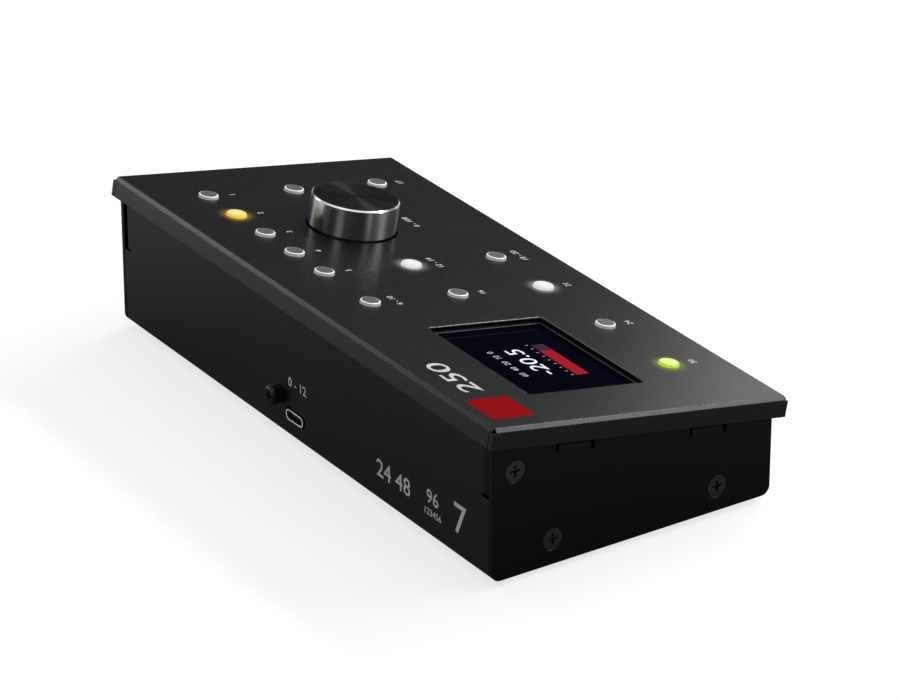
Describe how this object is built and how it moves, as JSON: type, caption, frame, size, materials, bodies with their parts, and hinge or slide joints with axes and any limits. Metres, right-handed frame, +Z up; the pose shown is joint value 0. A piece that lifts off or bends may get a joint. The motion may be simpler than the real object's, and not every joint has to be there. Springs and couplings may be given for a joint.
{
  "type": "studio monitor controller",
  "caption": "Wedge-shaped folded metal desktop controller with a large volume knob, round lit push buttons and a display window in its sloping cover.",
  "frame": {"origin": "centre of the bounding box on the desk, at the underside of the feet", "axes": "+X the user's right, +Y to the rear wall with the socket, +Z up"},
  "size_m": [0.2, 0.1004, 0.052],
  "materials": {
    "spacers": "nickel plated brass",
    "inner_screws": "zinc plated",
    "button_front_1": "frosted light-pipe cap",
    "button_front_2": "frosted light-pipe cap",
    "button_front_3": "frosted light-pipe cap, lit",
    "button_front_4": "frosted light-pipe cap",
    "button_front_5": "frosted light-pipe cap, lit",
    "button_middle_1": "frosted light-pipe cap",
    "button_middle_2": "frosted light-pipe cap, lit",
    "button_middle_3": "frosted light-pipe cap",
    "button_rear_1": "frosted light-pipe cap",
    "button_rear_2": "frosted light-pipe cap, lit",
    "button_rear_3": "frosted light-pipe cap",
    "button_rear_4": "frosted light-pipe cap",
    "button_rear_5": "frosted light-pipe cap",
    "button_rear_6": "frosted light-pipe cap",
    "chassis_pan": "satin black powder coat",
    "cord_post": "moulded black",
    "cord_post_screw": "nickel plated",
    "cover": "satin black powder coat",
    "display_gasket": "matt black foam",
    "display_glass": "clear cover glass",
    "display_pad": "foam",
    "display_panel": "dark liquid crystal panel",
    "encoder_case": "die cast and moulded case",
    "encoder_shaft": "turned",
    "end_plate": "satin black powder coat",
    "end_screws": "black zinc",
    "foot": "matt black",
    "circuit_board": "green solder mask on glass fibre",
    "ribbon_cable": "flexible flat cable",
    "ribbon_header": "natural nylon",
    "switch": "moulded black",
    "usb_shell": "drawn stainless steel",
    "usb_tongue": "moulded black",
    "volume_knob": "black anodised, turned top, bright cut edge"
  },
  "bodies": {
    "housing": {"board_posts": "spacers", "board_screws": "inner_screws", "chassis_pan": "chassis_pan", "cord_post": "cord_post", "cord_post_screw": "cord_post_screw", "cover": "cover", "cover_screws": "inner_screws", "cover_spacers": "spacers", "display_gasket": "display_gasket", "display_glass": "display_glass", "display_pad": "display_pad", "display_panel": "display_panel", "encoder_case": "encoder_case", "end_plate_left": "end_plate", "end_plate_right": "end_plate", "end_screws_left": "end_screws", "end_screws_right": "end_screws", "foot_front_left": "foot", "foot_front_right": "foot", "foot_rear_left": "foot", "foot_rear_right": "foot", "main_board": "circuit_board", "ribbon_cable": "ribbon_cable", "ribbon_header_main": "ribbon_header", "ribbon_header_usb": "ribbon_header", "switch_front_1": "switch", "switch_front_2": "switch", "switch_front_3": "switch", "switch_front_4": "switch", "switch_front_5": "switch", "switch_middle_1": "switch", "switch_middle_2": "switch", "switch_middle_3": "switch", "switch_rear_1": "switch", "switch_rear_2": "switch", "switch_rear_3": "switch", "switch_rear_4": "switch", "switch_rear_5": "switch", "switch_rear_6": "switch", "usb_board": "circuit_board", "usb_shell": "usb_shell", "usb_spacers": "spacers", "usb_tongue": "usb_tongue"},
    "knob": {"volume_knob": "volume_knob", "encoder_shaft": "encoder_shaft"},
    "button_front_1": {"button_front_1": "button_front_1"},
    "button_front_2": {"button_front_2": "button_front_2"},
    "button_front_3": {"button_front_3": "button_front_3"},
    "button_front_4": {"button_front_4": "button_front_4"},
    "button_front_5": {"button_front_5": "button_front_5"},
    "button_middle_1": {"button_middle_1": "button_middle_1"},
    "button_middle_2": {"button_middle_2": "button_middle_2"},
    "button_middle_3": {"button_middle_3": "button_middle_3"},
    "button_rear_1": {"button_rear_1": "button_rear_1"},
    "button_rear_2": {"button_rear_2": "button_rear_2"},
    "button_rear_3": {"button_rear_3": "button_rear_3"},
    "button_rear_4": {"button_rear_4": "button_rear_4"},
    "button_rear_5": {"button_rear_5": "button_rear_5"},
    "button_rear_6": {"button_rear_6": "button_rear_6"}
  },
  "joints": [
    {"name": "volume_turn", "type": "hinge", "parent": "housing", "child": "knob", "pos_m": [0.0459, -0.00114, 0.04044], "axis": [0, -0.1736, 0.9848], "continuous": true},
    {"name": "button_front_1_press", "type": "slide", "parent": "housing", "child": "button_front_1", "axis": [0, 0.1736, -0.9848], "range_m": [0, 0.0005], "stiffness_N_per_m": 400},
    {"name": "button_front_2_press", "type": "slide", "parent": "housing", "child": "button_front_2", "axis": [0, 0.1736, -0.9848], "range_m": [0, 0.0005], "stiffness_N_per_m": 400},
    {"name": "button_front_3_press", "type": "slide", "parent": "housing", "child": "button_front_3", "axis": [0, 0.1736, -0.9848], "range_m": [0, 0.0005], "stiffness_N_per_m": 400},
    {"name": "button_front_4_press", "type": "slide", "parent": "housing", "child": "button_front_4", "axis": [0, 0.1736, -0.9848], "range_m": [0, 0.0005], "stiffness_N_per_m": 400},
    {"name": "button_front_5_press", "type": "slide", "parent": "housing", "child": "button_front_5", "axis": [0, 0.1736, -0.9848], "range_m": [0, 0.0005], "stiffness_N_per_m": 400},
    {"name": "button_middle_1_press", "type": "slide", "parent": "housing", "child": "button_middle_1", "axis": [0, 0.1736, -0.9848], "range_m": [0, 0.0005], "stiffness_N_per_m": 400},
    {"name": "button_middle_2_press", "type": "slide", "parent": "housing", "child": "button_middle_2", "axis": [0, 0.1736, -0.9848], "range_m": [0, 0.0005], "stiffness_N_per_m": 400},
    {"name": "button_middle_3_press", "type": "slide", "parent": "housing", "child": "button_middle_3", "axis": [0, 0.1736, -0.9848], "range_m": [0, 0.0005], "stiffness_N_per_m": 400},
    {"name": "button_rear_1_press", "type": "slide", "parent": "housing", "child": "button_rear_1", "axis": [0, 0.1736, -0.9848], "range_m": [0, 0.0005], "stiffness_N_per_m": 400},
    {"name": "button_rear_2_press", "type": "slide", "parent": "housing", "child": "button_rear_2", "axis": [0, 0.1736, -0.9848], "range_m": [0, 0.0005], "stiffness_N_per_m": 400},
    {"name": "button_rear_3_press", "type": "slide", "parent": "housing", "child": "button_rear_3", "axis": [0, 0.1736, -0.9848], "range_m": [0, 0.0005], "stiffness_N_per_m": 400},
    {"name": "button_rear_4_press", "type": "slide", "parent": "housing", "child": "button_rear_4", "axis": [0, 0.1736, -0.9848], "range_m": [0, 0.0005], "stiffness_N_per_m": 400},
    {"name": "button_rear_5_press", "type": "slide", "parent": "housing", "child": "button_rear_5", "axis": [0, 0.1736, -0.9848], "range_m": [0, 0.0005], "stiffness_N_per_m": 400},
    {"name": "button_rear_6_press", "type": "slide", "parent": "housing", "child": "button_rear_6", "axis": [0, 0.1736, -0.9848], "range_m": [0, 0.0005], "stiffness_N_per_m": 400}
  ]
}
